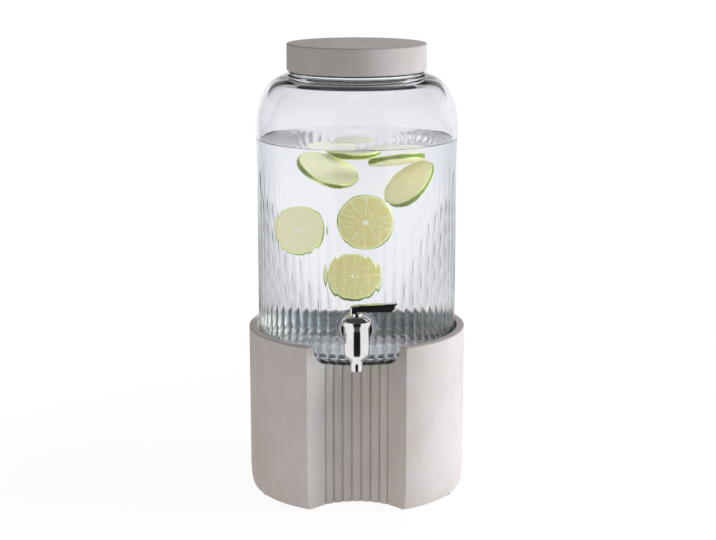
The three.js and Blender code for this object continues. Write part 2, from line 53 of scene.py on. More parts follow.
# A round white table top, 1.4 m across. The camera sees it as a plain white ground, and polished steel also
# mirrors a dark streak on it, where the room behind the camera is dark.
class Wire:
    """A socket in a node tree. Sums, products and the like of wires add Math nodes."""

    def __init__(self, tree, socket=None):
        self.tree = tree
        self.socket = socket

    def node(self, kind, settings=None, sockets=None, out=0):
        """A new node. Its settings come first, then the values or wires of its sockets."""
        made = self.tree.nodes.new(kind)
        for name, value in (settings or {}).items():
            setattr(made, name, value)
        for name, value in (sockets or {}).items():
            if isinstance(value, Wire):
                self.tree.links.new(value.socket, made.inputs[name])
            elif hasattr(value, "__len__") and made.inputs[name].type == "RGBA":
                made.inputs[name].default_value = (*value, 1)
            else:
                made.inputs[name].default_value = value
        return Wire(self.tree, made.outputs[out])

    def output(self, name):
        return Wire(self.tree, self.socket.node.outputs[name])

    def math(self, operation, *values):
        return self.node("ShaderNodeMath", {"operation": operation}, dict(enumerate(values)))

    def __add__(self, other):
        return self.math("ADD", self, other)

    __radd__ = __add__

    def __sub__(self, other):
        return self.math("SUBTRACT", self, other)

    def __rsub__(self, other):
        return self.math("SUBTRACT", other, self)

    def __mul__(self, other):
        return self.math("MULTIPLY", self, other)

    __rmul__ = __mul__

    def __truediv__(self, other):
        return self.math("DIVIDE", self, other)

    def ramp(self, low, high):
        """0 below low, 1 above high, smooth between them. With low above high it falls."""
        settings = {"interpolation_type": "SMOOTHSTEP"}
        if low < high:
            return self.node("ShaderNodeMapRange", settings, {"Value": self, 1: low, 2: high})
        return self.node("ShaderNodeMapRange", settings, {"Value": self, 1: high, 2: low, 3: 1.0, 4: 0.0})

    def between(self, low, high, soft):
        """1 between two angles in degrees, 0 outside them, with a soft step at each."""
        rise = self.ramp(math.radians(low - soft), math.radians(low + soft))
        return rise * self.ramp(math.radians(high + soft), math.radians(high - soft))

    def blend(self, first, second):
        """The colour first where this wire is 0, second where it is 1."""
        return self.node("ShaderNodeMix", {"data_type": "RGBA"}, {0: self, 6: first, 7: second}, 2)

    def blend_value(self, first, second):
        """The number first where this wire is 0, second where it is 1."""
        return self.node("ShaderNodeMix", {"data_type": "FLOAT"}, {0: self, 2: first, 3: second})

    def place(self, kind="Object", scale=None):
        """Where a point lies on the piece, stretched if a scale is given."""
        spot = self.node("ShaderNodeTexCoord", out=kind)
        return self.node("ShaderNodeMapping", None, {0: spot, "Scale": scale}) if scale else spot

    def noise(self, spot, scale, detail=2.0, rough=0.5, seed=0.0):
        sockets = {"Vector": spot, "W": seed, "Scale": scale, "Detail": detail, "Roughness": rough}
        return self.node("ShaderNodeTexNoise", {"noise_dimensions": "4D"}, sockets)

    def parts(self, vector):
        """The three numbers of a vector."""
        split = self.node("ShaderNodeSeparateXYZ", None, {0: vector})
        return split, split.output("Y"), split.output("Z")


def finish_of(name, **plain):
    """A material with its Principled shader, and a wire to draw from. Plain values go on its sockets."""
    material = bpy.data.materials.new(name)
    material.use_nodes = True
    shader = material.node_tree.nodes["Principled BSDF"]
    for key, value in plain.items():
        socket = shader.inputs[key.replace("_", " ")]
        socket.default_value = (*value, 1) if socket.type == "RGBA" else value
    return material, Wire(material.node_tree, shader.outputs[0])


def feed(wire, **sources):
    """Links wires to sockets of the material's Principled shader."""
    shader = wire.tree.nodes["Principled BSDF"]
    for key, source in sources.items():
        wire.tree.links.new(source.socket, shader.inputs[key.replace("_", " ")])


def bump(wire, height, distance, strength):
    return wire.node("ShaderNodeBump", None, {"Height": height, "Distance": distance, "Strength": strength})


def made(bm, name, material=None):
    """The finished mesh as an object in the scene, with its place in its mesh."""
    mesh = bpy.data.meshes.new(name)
    bm.to_mesh(mesh)
    bm.free()
    piece = bpy.data.objects.new(name, mesh)
    bpy.context.scene.collection.objects.link(piece)
    if material:
        mesh.materials.append(material)
    return piece


table_radius = 0.7
table_z = -0.0003
tap_from_middle = -0.11
dark_wall = (-27, 34, 5)
bm = bmesh.new()
bmesh.ops.create_circle(bm, cap_ends=True, segments=128, radius=table_radius)
bmesh.ops.translate(bm, verts=bm.verts, vec=(0, 0, table_z))
table_material, wire = finish_of("table")
nodes = wire.tree.nodes
nodes.remove(nodes["Principled BSDF"])
rays = wire.node("ShaderNodeLightPath", out="Is Camera Ray")
seen = wire.math("MINIMUM", rays + rays.output("Is Glossy Ray") + rays.output("Is Transmission Ray"), 1.0)
across, along, _ = wire.parts(wire.place())
distance = wire.math("SQRT", across * across + along * along)
bearing = wire.math("ARCTAN2", across, tap_from_middle - along)
behind_camera = bearing.between(*dark_wall) * distance.ramp(0.2, 0.26) * rays.output("Is Glossy Ray")
shine = behind_camera.blend((1.0, 1.0, 1.0), (0.015, 0.015, 0.017))
shine = rays.output("Is Transmission Ray").blend(shine, (0.92, 0.925, 0.96))
glow = wire.node("ShaderNodeEmission", None, {"Color": shine, "Strength": seen.blend_value(1.7, 1.0)})
cloth = wire.node("ShaderNodeBsdfDiffuse", None, {"Color": (0.86, 0.86, 0.86)})
share = seen.blend_value(0.35, 0.93 + 0.07 * distance.ramp(0.3, 0.55))
surface = wire.node("ShaderNodeMixShader", None, {0: share, 1: cloth, 2: glow})
wire.tree.links.new(surface.socket, nodes["Material Output"].inputs["Surface"])
table = made(bm, "table", table_material)

# A square black card, 1 m wide, stands upright behind the object, high up. It is staging: only the glass
# shows it, as the dark crescents of its shoulder.
card_half = 0.5
card_middle = (0, 0.55, 1.05)
card_black = (0.01, 0.01, 0.012)
bm = bmesh.new()
bmesh.ops.create_grid(bm, x_segments=1, y_segments=1, size=card_half)
bmesh.ops.rotate(bm, verts=bm.verts, cent=(0, 0, 0), matrix=Matrix.Rotation(math.pi / 2, 3, "X"))
bmesh.ops.translate(bm, verts=bm.verts, vec=card_middle)
card_material, _ = finish_of("card", Base_Color=card_black, Roughness=1.0, Specular_IOR_Level=0.0)
card = made(bm, "card", card_material)
card.visible_camera = False
card.visible_diffuse = False
card.visible_glossy = False
card.visible_shadow = False

# The room looks different to each kind of surface. Matt ones are lit by a plain pale grey, steel mirrors pale
# walls with two dark stripes and a dark ceiling, and glass shows a pale wall, cooler at the sides and darker
# above.
world = bpy.data.worlds.new("room")
world.use_nodes = True
bpy.context.scene.world = world
wire = Wire(world.node_tree)
across, along, up = wire.parts(wire.place("Generated"))
bearing = wire.math("ARCTAN2", across, 0.0 - along)
aside = wire.math("ABSOLUTE", bearing)
rays = wire.node("ShaderNodeLightPath", out="Is Camera Ray")
ambient = up.ramp(-0.3, 0.05).blend((0.42, 0.42, 0.42), (0.40, 0.39, 0.385))
ambient = up.ramp(0.35, 0.9).blend(ambient, (0.84, 0.83, 0.86))
stripes = wire.math("MAXIMUM", bearing.between(*dark_wall), bearing.between(-150, -105, 8) * 0.7)
mirrored = stripes.blend((1.0, 1.0, 1.0), (0.012, 0.012, 0.014))
mirrored = up.ramp(0.36, 0.62).blend(mirrored, (0.06, 0.06, 0.065))
backdrop = up.ramp(-0.175, -0.11).blend((0.985, 0.97, 1.0), (0.92, 0.905, 0.965))
from_right = bearing.between(10, 172, 12)
side_tone = from_right.blend((0.66, 0.68, 0.74), (0.82, 0.85, 0.91))
backdrop = aside.ramp(math.radians(160), math.radians(128)).blend(backdrop, side_tone)
front_right = aside.ramp(math.radians(112), math.radians(70)) * from_right
front_left = aside.ramp(math.radians(76), math.radians(40)) * (1 - from_right)
backdrop = (front_left + front_right).blend(backdrop, (0.50, 0.52, 0.56))
at_back = aside.ramp(math.radians(140), math.radians(160))
above_tone = at_back.blend((0.03, 0.035, 0.04), (0.44, 0.48, 0.53))
above_tone = up.ramp(0.52, 0.68).blend(above_tone, (0.44, 0.48, 0.52))
backdrop = up.ramp(0.16, 0.42).blend(backdrop, above_tone)
light = rays.output("Is Glossy Ray").blend(ambient, mirrored)
light = rays.output("Is Transmission Ray").blend(light, backdrop)
light = rays.blend(light, (1.0, 1.0, 1.0))
sky = wire.node("ShaderNodeBackground", None, {"Color": light, "Strength": 1.0})
wire.tree.links.new(sky.socket, world.node_tree.nodes["World Output"].inputs["Surface"])


# A strong softbox hangs on the right and a weak one on the left, each about 1 m wide. They light the object,
# but nothing mirrors them or shows them.
def hang(lamp, location, target):
    """Aims a lamp at a point. Nothing mirrors it or shows it."""
    hung = bpy.data.objects.new(lamp.name, lamp)
    hung.location = location
    hung.rotation_euler = (Vector(target) - Vector(location)).to_track_quat("-Z", "Y").to_euler()
    hung.visible_camera = False
    hung.visible_transmission = False
    hung.visible_glossy = False
    bpy.context.scene.collection.objects.link(hung)


def softbox(name, location, target, size, watts, colour=(1, 1, 1)):
    lamp = bpy.data.lights.new(name, "AREA")
    lamp.shape = "RECTANGLE"
    lamp.size = size
    lamp.size_y = size
    lamp.energy = watts
    lamp.color = colour
    hang(lamp, location, target)


softbox("key_right", (1.50, -0.08, 0.62), (0, 0, 0.41), 0.9, 38, (0.84, 0.91, 1.0))
softbox("fill_left", (-1.3, -0.9, 0.5), (0, 0, 0.2), 1.0, 4)

# The full jar gathers the light from the right on the wall of its socket, at the back on the left. A narrow
# spot stands in for that.
gathered = bpy.data.lights.new("gathered", "SPOT")
gathered.energy = 120
gathered.spot_size = math.radians(7.5)
gathered.spot_blend = 0.7
gathered.shadow_soft_size = 0.01
hang(gathered, (0.60, -0.30, 0.50), (-0.084, 0.078, 0.16))

# A hollow drum of fine cast concrete, 220 mm across, open underneath. The mould leaves a socket in its top
# for the jar, and a bay with seven upright reeds in its front, which reaches through the socket's rim.
axis_y = 0.01605
base_z = 0.0024
drum_radius = 0.110
socket_radius = 0.102
rim_z = 0.1692
socket_z = 0.1456
cove = 0.023
arris = 0.0011
hollow_radius = 0.094
hollow_z = 0.1326
foot_in = 0.0034
foot_rise = 0.024
tap_y = -0.11195
bay_radius = 0.056
bay_half_width = 0.0485
bay_front = -0.104
bay_back_thick = 0.014
reeds = 7
reed_pitch = 0.00924
reed_crown = 0.0009
groove_width = 0.0019
groove_depth = 0.0014


def rounded(corners, steps=5):
    """A path of (radius, height) corners. A third number on a corner rounds it with that radius."""
    path = []
    for i, (radius, height, *fillet) in enumerate(corners):
        if not fillet:
            path.append((radius, height))
            continue
        here = Vector((radius, height))
        back = (Vector(corners[i - 1][:2]) - here).normalized()
        on = (Vector(corners[(i + 1) % len(corners)][:2]) - here).normalized()
        half = back.angle(on) / 2
        centre = here + (back + on).normalized() * fillet[0] / math.sin(half)
        start = here + back * fillet[0] / math.tan(half) - centre
        end = here + on * fillet[0] / math.tan(half) - centre
        turn = start.angle(end)
        for k in range(steps + 1):
            share = k / steps
            arm = (start * math.sin((1 - share) * turn) + end * math.sin(share * turn)) / math.sin(turn)
            path.append(tuple(centre + arm))
    return path


def turned(profile, steps, centre=(0, 0), closed=False):
    """A profile of (radius, height) points spun round an upright axis: an eighth, doubled three times."""
    bm = bmesh.new()
    points = [bm.verts.new((radius, 0, height)) for radius, height in profile]
    ends = points[1:] + points[:1] if closed else points[1:]
    edges = [bm.edges.new(pair) for pair in zip(points, ends)]
    bmesh.ops.spin(
        bm, geom=points + edges, cent=(0, 0, 0), axis=(0, 0, 1), angle=math.tau / 8, steps=steps // 8
    )
    for part in (8, 4, 2):
        whole = bm.verts[:] + bm.edges[:] + bm.faces[:]
        copied = bmesh.ops.duplicate(bm, geom=whole)["geom"]
        moved = [item for item in copied if isinstance(item, bmesh.types.BMVert)]
        bmesh.ops.rotate(bm, verts=moved, cent=(0, 0, 0), matrix=Matrix.Rotation(math.tau / part, 3, "Z"))
    bmesh.ops.remove_doubles(bm, verts=bm.verts, dist=1e-6)
    bmesh.ops.recalc_face_normals(bm, faces=bm.faces)
    bmesh.ops.translate(bm, verts=bm.verts, vec=(*centre, 0))
    return bm


def combine(piece, tool, operation):
    """Joins or cuts a piece with another one, which is used up."""
    change = piece.modifiers.new("combine", "BOOLEAN")
    change.operation = operation
    change.object = tool
    change.solver = "MANIFOLD"
    mesh = bpy.data.meshes.new_from_object(piece.evaluated_get(bpy.context.evaluated_depsgraph_get()))
    piece.modifiers.clear()
    old = piece.data
    piece.data = mesh
    bpy.data.meshes.remove(old)
    bpy.data.objects.remove(tool, do_unlink=True)


def shade(piece, degrees=35, material=None):
    """Smooth faces, with edges kept sharp where they fold by more than this angle, and one finish."""
    bm = bmesh.new()
    bm.from_mesh(piece.data)
    for face in bm.faces:
        face.smooth = True
    for edge in bm.edges:
        edge.smooth = len(edge.link_faces) == 2 and edge.calc_face_angle(0) < math.radians(degrees)
    bm.to_mesh(piece.data)
    bm.free()
    if material:
        piece.data.materials.clear()
        piece.data.materials.append(material)


drum_profile = [(0, base_z), (drum_radius - foot_in, base_z)]
for k in range(1, 13):
    angle = math.pi / 2 * (1 - k / 12)
    radius = drum_radius - foot_in * (1 - math.cos(angle))
    drum_profile.append((radius, base_z + foot_rise * (1 - math.sin(angle))))
drum_profile += rounded([
    (drum_radius, base_z + foot_rise), (drum_radius, rim_z, arris), (socket_radius, rim_z, arris),
    (socket_radius, socket_z, cove), (0, socket_z),
], 12)[1:]
pedestal = made(turned(drum_profile, 256, (0, axis_y)), "pedestal_cast")

hollow_profile = rounded([(hollow_radius, 0), (hollow_radius, hollow_z, 0.006), (0, hollow_z)])[1:]
hollow_profile = [(0, -0.01), (hollow_radius, -0.01), *hollow_profile]
hollow = made(turned(hollow_profile, 128, (0, axis_y)), "hollow")
behind = bay_radius + bay_back_thick
behind_profile = [(0, -0.02), (behind, -0.02), (behind, 0.2), (0, 0.2)]
behind_bay = made(turned(behind_profile, 128, (0, tap_y)), "behind_bay")
combine(hollow, behind_bay, "DIFFERENCE")
combine(pedestal, hollow, "DIFFERENCE")


def bay_wall():
    """Plan of the bay's round wall with its reeds, from its left end to its right end."""
    points = []
    reach = reeds / 2 * reed_pitch + groove_width / 2
    steps = 26 * reeds
    for k in range(steps + 1):
        along = -reach + 2 * reach * k / steps
        into = (along / reed_pitch + reeds / 2) % 1.0
        aside = min(into, 1 - into) * reed_pitch
        if aside < groove_width / 2:
            depth = groove_depth * (0.5 + 0.5 * math.cos(2 * math.pi * aside / groove_width))
        else:
            across_reed = (aside - groove_width / 2) / (reed_pitch - groove_width)
            depth = -reed_crown * math.sin(math.pi * across_reed)
        angle = along / bay_radius
        radius = bay_radius + depth
        points.append((radius * math.sin(angle), tap_y + radius * math.cos(angle)))
    return points


def pulled(outline, way):
    """A solid, made of a flat outline of points pulled out one way."""
    bm = bmesh.new()
    face = bm.faces.new([bm.verts.new(point) for point in outline])
    risen = bmesh.ops.extrude_face_region(bm, geom=[face])["geom"]
    bmesh.ops.translate(bm, verts=[item for item in risen if isinstance(item, bmesh.types.BMVert)], vec=way)
    bmesh.ops.recalc_face_normals(bm, faces=bm.faces)
    return bm


wall = bay_wall()
corner_y = axis_y - math.sqrt(drum_radius ** 2 - bay_half_width ** 2)
slope = (bay_half_width - wall[-1][0]) / (corner_y - wall[-1][1])
mouth_x = bay_half_width + slope * (bay_front - corner_y)
outline = [(-mouth_x, bay_front), *wall, (mouth_x, bay_front)]
bay = pulled([(x, y, -0.01) for x, y in outline], (0, 0, 0.2))
combine(pedestal, made(bay, "bay"), "DIFFERENCE")

foot_places = [(side * 0.09033, axis_y + end * 0.04406) for side in (-1, 1) for end in (-1, 1)]
pocket_profile = [(0, -0.002), (0.00525, -0.002), (0.00525, 0.00425), (0, 0.00425)]
for place in foot_places:
    combine(pedestal, made(turned(pocket_profile, 32, place), "pocket"), "DIFFERENCE")

# The arrises of the bay are rubbed round by hand: where it cuts the rim and the socket's floor, and at the
# two upright corners of its mouth.
arris_offset = 0.0007
bm = bmesh.new()
bm.from_mesh(pedestal.data)
bmesh.ops.remove_doubles(bm, verts=bm.verts, dist=2e-6)
arrises = []
for edge in bm.edges:
    if len(edge.link_faces) != 2 or not edge.is_convex or edge.calc_face_angle(0) < 0.6:
        continue
    ends = [v.co for v in edge.verts]
    level = all(min(abs(p.z - rim_z), abs(p.z - socket_z)) < 1e-5 and p.y < -0.05 for p in ends)
    upright = all(abs(abs(p.x) - bay_half_width) < 0.003 and p.y < -0.075 for p in ends)
    if level or upright:
        arrises.append(edge)
bmesh.ops.bevel(
    bm, geom=arrises, offset=arris_offset, segments=3, profile=0.5, affect="EDGES", material=-1,
    clamp_overlap=True,
)
bm.to_mesh(pedestal.data)
bm.free()


def concrete(name, seed, edge=None, painted_shade=None, dark=(0.13, 0.145, 0.165), depth=1.0):
    """Cast concrete: warm grey with faint clouds, fine sand, a few pin holes and rubbed edges.

    The function edge says where it is rubbed. The next function says where shade is painted on it; there it
    has the tone dark. Elsewhere depth makes the tone of the clouds lighter or darker; below 1 that is painted
    shade.
    """
    material, wire = finish_of(name, IOR=1.45, Specular_IOR_Level=0.35)
    spot = wire.place()
    cloud = wire.noise(spot, 11, 4, 0.55, seed)
    haze = wire.noise(spot, 34, 3, 0.6, seed + 3)
    sand = wire.noise(spot, 620, 2, 0.6, seed + 5)
    streak = wire.noise(wire.place(scale=(1, 1, 0.16)), 60, 3, 0.6, seed + 7)
    warm, pale, mauve = (0.405, 0.358, 0.318), (0.465, 0.425, 0.398), (0.43, 0.385, 0.385)
    tone = cloud.ramp(0.32, 0.68).blend(Vector(warm) * depth, Vector(pale) * depth)
    tone = haze.ramp(0.45, 0.75).blend(tone, Vector(mauve) * depth)
    tone = (streak.ramp(0.5, 0.8) * 0.35).blend(tone, (0.50, 0.47, 0.44))
    tone = (sand.ramp(0.62, 0.75) * 0.25).blend(tone, (0.30, 0.27, 0.25))
    cell = wire.node("ShaderNodeTexVoronoi", None, {"Vector": spot, "Scale": 210.0, "Randomness": 1.0})
    rare = wire.noise(spot, 140, 1, 0.5, seed + 9).ramp(0.6, 0.66)
    pit = cell.ramp(0.16, 0.08) * rare
    tone = (pit * 0.75).blend(tone, (0.17, 0.15, 0.14))
    if edge:
        tone = (edge(wire, spot) * 0.6).blend(tone, (0.22, 0.185, 0.18))
    # Painted shade, in the tone dark, where the last function says.
    if painted_shade:
        tone = painted_shade(wire, spot).blend(tone, dark)
    relief = haze * 0.5 + sand * 0.35 - pit * 1.6
    rough = 0.74 + 0.16 * haze - 0.1 * cloud
    feed(wire, Base_Color=tone, Roughness=rough, Normal=bump(wire, relief, 0.0005, 0.55))
    return material


def round_axis(wire, spot):
    """How far a point lies right of the jar's axis, behind it, above the table and out from it."""
    across, along, up = wire.parts(spot)
    back = along - axis_y
    return across, back, up, wire.math("SQRT", across * across + back * back)


def pedestal_edge(wire, spot):
    _, _, up, out = round_axis(wire, spot)
    top = up.ramp(rim_z - 0.0014, rim_z - 0.0004)
    return top * (0.7 + 0.3 * out.ramp(drum_radius - 0.0016, drum_radius - 0.0006))


def socket_painted_shade(wire, spot):
    """Where shade is painted on the socket's wall: not near the bay, and not at the back on the left, where
    the jar lights it.
    """
    across, back, up, out = round_axis(wire, spot)
    wall = up.ramp(socket_z, socket_z + 0.006) * out.ramp(socket_radius + 0.0008, socket_radius + 0.0002)
    behind_front = back.ramp(-0.045 - axis_y, -0.03 - axis_y)
    to_left = wire.math("ARCTAN2", 0.0 - across, back)
    return wall * behind_front * (1 - to_left.between(48, 95, 14))


shade(pedestal, 32, concrete("concrete_pedestal", 2.0, pedestal_edge, socket_painted_shade))
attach(pedestal, "stand")
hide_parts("pedestal")

# Four round feet of black rubber, moulded, with a rounded edge below. They are glued into pockets in the
# underside of the drum's wall.
rubber, wire = finish_of("rubber", IOR=1.5)
spot = wire.place()
dust = wire.noise(spot, 240, 3, 0.6, 1.0)
feed(
    wire,
    Base_Color=dust.ramp(0.4, 0.7).blend((0.018, 0.018, 0.019), (0.05, 0.05, 0.052)),
    Roughness=0.66 + 0.2 * dust,
    Normal=bump(wire, wire.noise(spot, 1500, 2, 0.5, 2.0), 0.0001, 0.5),
)
foot_names = ["foot_front_left", "foot_rear_left", "foot_front_right", "foot_rear_right"]
foot_profile = rounded([(0, 0), (0.005, 0, 0.0007), (0.005, 0.004, 0.0002), (0, 0.004)])
for place, node in zip(foot_places, foot_names):
    foot = made(turned(foot_profile, 48, place), "rubber_" + node, rubber)
    shade(foot)
    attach(foot, "stand")
    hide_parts(node)

# A seven-litre jar of pressed clear glass, 200 mm across. Its 64 ribs run out under a smooth shoulder. Near
# its foot the glass has a flat pad with a drilled hole for the tap. Its underside is pushed up a little.
jar_z = 0.14585
jar_radius = 0.1002
band_radius = 0.1009
inner_radius = 0.0968
ribs = 64
rib_depth = 0.0024
rib_top = 0.2065
shoulder_z = 0.2245
shoulder_centre = band_radius - 0.0339
lip_z = 0.2809
floor_z = 0.0094
columns = ribs * 10
heel = 0.023
inner_heel = 0.016
push_up = 0.0024
push_up_radius = 0.072
neck_radius = 0.0674
inner_neck_radius = 0.0655
mouth_radius = 0.0615
mouth_z = 0.2779
lip_round = 0.0012
outer_rise = 0.055
inner_rise = 0.0490
wave_depth = 0.00012


def shoulder(reach, rise, stop, steps):
    """Quarter of a superellipse, from the widest ring up to the radius stop."""
    power = 2 / 2.1
    last = math.acos(((stop - shoulder_centre) / reach) ** (1 / power))
    curve = []
    for k in range(steps + 1):
        angle = last * k / steps
        radius = shoulder_centre + reach * math.cos(angle) ** power
        curve.append((radius, shoulder_z + rise * math.sin(angle) ** power))
    return curve


def heel_curve(radius, low, heel, steps, skin=0):
    """Quarter of a circle, from the underside at the height low up to the wall, set out by a skin."""
    curve = []
    for k in range(steps + 1):
        angle = math.pi / 2 * k / steps
        reach = radius - heel + (heel + skin) * math.sin(angle)
        curve.append((reach, low + heel - (heel + skin) * math.cos(angle)))
    return curve


def smooth(value, low, high):
    """0 at low, 1 at high, smooth between them."""
    share = min(max((value - low) / (high - low), 0), 1)
    return share * share * (3 - 2 * share)


outside = [(push_up_radius * k / 6, push_up * (1 - (k / 6) ** 2)) for k in range(7)]
outside += heel_curve(jar_radius, 0, heel, 12)
for z in (0.03, 0.06, 0.09, 0.12, 0.14, 0.15, 0.16, 0.17, 0.18, 0.19, 0.198, 0.2065, 0.213):
    outside.append((jar_radius + (band_radius - jar_radius) * smooth(z, 0.192, 0.218), z))
dome = shoulder(band_radius - shoulder_centre, outer_rise, neck_radius + lip_round, 30)
outside += dome[:-2]
outside += rounded([
    dome[-3], (neck_radius, dome[-1][1] + 0.0002, lip_round), (neck_radius, lip_z, lip_round),
    (mouth_radius, lip_z, lip_round), (mouth_radius, mouth_z),
])[1:-1]
inner_dome = shoulder(inner_radius - shoulder_centre, inner_rise, shoulder_centre, 22)
inside = rounded([
    inner_dome[-2], (inner_neck_radius, inner_dome[-1][1], 0.003), (mouth_radius, mouth_z, 0.002),
    (mouth_radius, 0.2795),
])[1:-1]
inside = inside[::-1] + inner_dome[:-1][::-1]
inside += [(inner_radius, z) for z in (0.2, 0.16, 0.12, 0.08, 0.04)]
inside += heel_curve(inner_radius, floor_z, inner_heel, 10)[::-1]
inside += [(0.06, floor_z), (0.03, floor_z), (0, floor_z)]

bm = turned(outside + inside, columns)
for vertex in bm.verts:
    x, y, z = vertex.co
    radius = math.hypot(x, y)
    if radius < 1e-5:
        continue
    onto_wall = radius > jar_radius - heel and z < rib_top
    outer = radius > inner_radius + 0.0006 or z < floor_z
    if onto_wall and outer:
        valley = abs(math.sin(math.atan2(y, x) * ribs / 2))
        fade = (1 - z / rib_top) ** 1.7 * smooth(z, 0, 0.005)
        scale = 1 - rib_depth * fade * valley / radius
        vertex.co.x, vertex.co.y = x * scale, y * scale
    elif not outer:
        wave = noise.noise(Vector((x * 30, y * 30, z * 2.5))) * wave_depth
        vertex.co.x, vertex.co.y = x * (1 + wave / radius), y * (1 + wave / radius)
bmesh.ops.translate(bm, verts=bm.verts, vec=(0, axis_y, jar_z))
jar = made(bm, "jar_glass")

shank_z = 0.18955
pad_radius = 0.0195
pad_face = 0.1012
pad_back = 0.0946
pad_hole = 0.0087


def along_y(bm, y, z):
    """Lays a piece made on an upright axis down, with its height running to the back."""
    bmesh.ops.rotate(bm, verts=bm.verts, cent=(0, 0, 0), matrix=Matrix.Rotation(-math.pi / 2, 3, "X"))
    bmesh.ops.translate(bm, verts=bm.verts, vec=(0, y, z))
    return bm


thick = pad_face - pad_back
pad = turned(rounded([(0, 0), (pad_radius, 0, 0.0006), (pad_radius, thick, 0.0006), (0, thick)]), 96)
combine(jar, made(along_y(pad, axis_y - pad_face, shank_z), "pad"), "UNION")
drill = turned([(0, -0.005), (pad_hole, -0.005), (pad_hole, thick + 0.005), (0, thick + 0.005)], 64)
combine(jar, made(along_y(drill, axis_y - pad_face, shank_z), "drill"), "DIFFERENCE")


def clear(name, tint, index):
    """Clear glass or liquid. Lamps and the room's light pass through it, so that it casts a light shadow."""
    material, wire = finish_of(name, Base_Color=tint, Roughness=0.0, IOR=index, Transmission_Weight=1.0)
    rays = wire.node("ShaderNodeLightPath", out="Is Shadow Ray")
    through = wire.math("MINIMUM", rays + rays.output("Is Diffuse Ray"), 1.0)
    veil = wire.node("ShaderNodeBsdfTransparent", None, {"Color": (0.96, 0.975, 0.97)})
    surface = wire.node("ShaderNodeMixShader", None, {0: through, 1: wire, 2: veil})
    wire.tree.links.new(surface.socket, wire.tree.nodes["Material Output"].inputs["Surface"])
    return material


shade(jar, 50, clear("glass", (0.975, 0.985, 0.988), 1.5))
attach(jar, "vessel")
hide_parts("jar")

# The jar is filled with water to just under its shoulder. The water is contents, one body that overlaps the
# glass by a hair's breadth, so that light goes straight from one into the other.
water_z = 0.3607 - jar_z
skin = 0.00015
liquid = [(0, floor_z - skin), (0.04, floor_z - skin)]
liquid += heel_curve(inner_radius, floor_z, inner_heel, 10, skin)
liquid += [(inner_radius + skin, z) for z in (0.04, 0.08, 0.12, 0.16, 0.2)]
liquid += [
    (inner_radius + skin, water_z + 0.0012), (inner_radius - 0.0008, water_z + 0.0004),
    (inner_radius - 0.003, water_z), (0.05, water_z), (0, water_z),
]
bm = turned(liquid, columns // 2)
for vertex in bm.verts:
    x, y, z = vertex.co
    radius = math.hypot(x, y)
    if radius > 1e-5 and z > 0.02:
        wave = noise.noise(Vector((x * 30, y * 30, z * 2.5))) * wave_depth * smooth(z, 0.02, 0.03)
        vertex.co.x, vertex.co.y = x * (1 + wave / radius), y * (1 + wave / radius)
bmesh.ops.translate(bm, verts=bm.verts, vec=(0, axis_y, jar_z))
water = made(bm, "contents_water", clear("water", (0.985, 0.99, 0.995), 1.333))
shade(water, 60)
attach(water, "vessel")


# Seven slices of lime float in the water, cut by hand a little under 6 mm thick. Five are paler than the
# other two, and all glow faintly, the pale five more: painted light. They are contents as well, loose pieces
# that ride with the jar.
def lime_finish(name, dark, pale, glow):
    """Cut lime: juicy flesh in ten wedges round a white core, a pale ring of pith and a green peel.

    Its faint glow, in the same colours, is painted light.
    """
    material, wire = finish_of(
        name, IOR=1.4, Subsurface_Weight=0.25, Subsurface_Radius=(0.006, 0.007, 0.003),
        Subsurface_Scale=0.5, Emission_Strength=glow,
    )
    spot = wire.node("ShaderNodeUVMap", {"uv_map": "slice"})
    across, along, _ = wire.parts(spot)
    out = wire.math("SQRT", across * across + along * along)
    turn = wire.math("ARCTAN2", along, across) / math.tau + 0.5
    ragged = wire.noise(spot, 4.4, 3, 0.6)
    side = wire.math("ABSOLUTE", wire.math("FRACT", turn * 10 + ragged * 0.5) - 0.5)
    membrane = wire.math("MINIMUM", (side * out).ramp(0.40, 0.47) + side.ramp(0.455, 0.485), 1.0)
    pulp = wire.noise(spot, 27, 4, 0.6)
    rays = wire.node("ShaderNodeCombineXYZ", None, {0: turn * 60, 1: out * 5})
    vesicles = wire.noise(rays, 1.0, 2, 0.6, 3.0)
    flesh = pulp.ramp(0.3, 0.7).blend(dark, pale)
    flesh = (vesicles.ramp(0.45, 0.7) * 0.5).blend(flesh, (0.97, 0.94, 0.72))
    flesh = (ragged.ramp(0.42, 0.66) * 0.35).blend(flesh, dark)
    flesh = (membrane * 0.75).blend(flesh, (0.99, 0.97, 0.86))
    flesh = out.ramp(0.12, 0.05).blend(flesh, (0.97, 0.95, 0.84))
    flesh = out.ramp(0.87, 0.92).blend(flesh, (0.84, 0.86, 0.42))
    peel = pulp.ramp(0.35, 0.65).blend((0.08, 0.14, 0.015), (0.30, 0.38, 0.05))
    flesh = out.ramp(0.955, 0.98).blend(flesh, peel)
    feed(wire, Base_Color=flesh, Emission_Color=flesh, Roughness=0.35 + 0.2 * pulp)
    feed(wire, Normal=bump(wire, pulp + membrane * 0.4, 0.0004, 0.6))
    return material


# Both finishes glow faintly, which is painted light; the pale one glows more.
deep_lime = lime_finish("lime_deep", (0.71, 0.61, 0.17), (0.88, 0.78, 0.42), 0.03)
pale_lime = lime_finish("lime_pale", (0.84, 0.76, 0.38), (0.99, 0.94, 0.74), 0.13)

